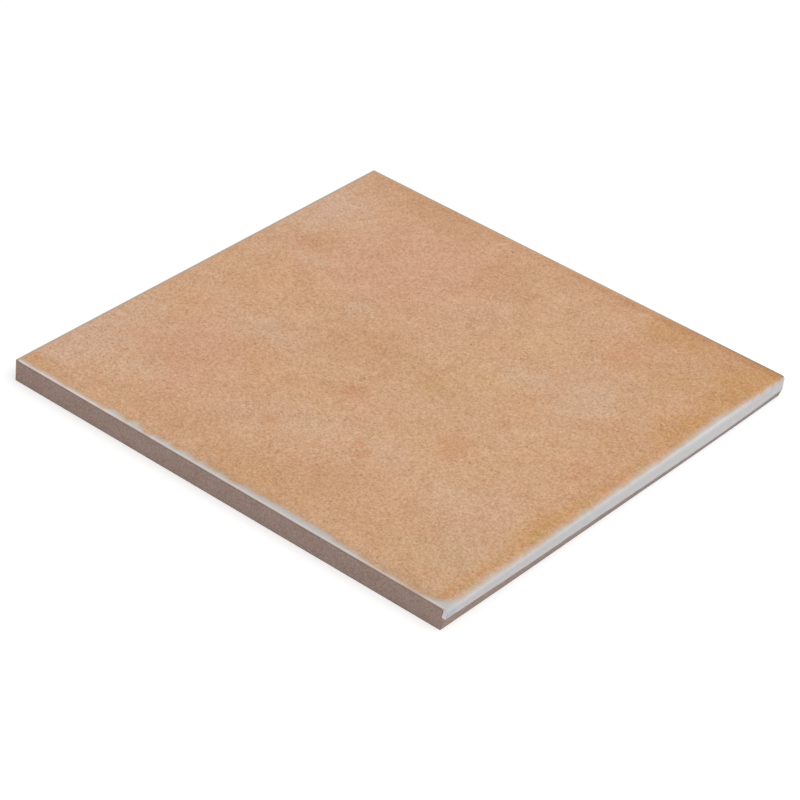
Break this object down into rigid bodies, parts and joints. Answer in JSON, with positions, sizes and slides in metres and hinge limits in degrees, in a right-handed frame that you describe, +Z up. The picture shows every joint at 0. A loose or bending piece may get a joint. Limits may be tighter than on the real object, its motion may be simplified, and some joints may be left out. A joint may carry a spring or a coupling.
{
  "type": "porcelain tile",
  "caption": "Square glazed porcelain floor tile with a warm sand-mottled face, one rounded pressed edge, square ground edges and a keyed back for bedding in mortar.",
  "frame": {"origin": "under the middle of the tile, on the plane of the back's ribs and rim, where it beds", "axes": "+Z up out of the glazed face, +X towards the rounded pressed edge, -Y towards the ground edge that faces the picture's lower left"},
  "size_m": [0.2, 0.2, 0.0093],
  "materials": {
    "glazed_porcelain": "matte"
  },
  "bodies": {
    "root": {"tile": "glazed_porcelain"}
  },
  "joints": []
}
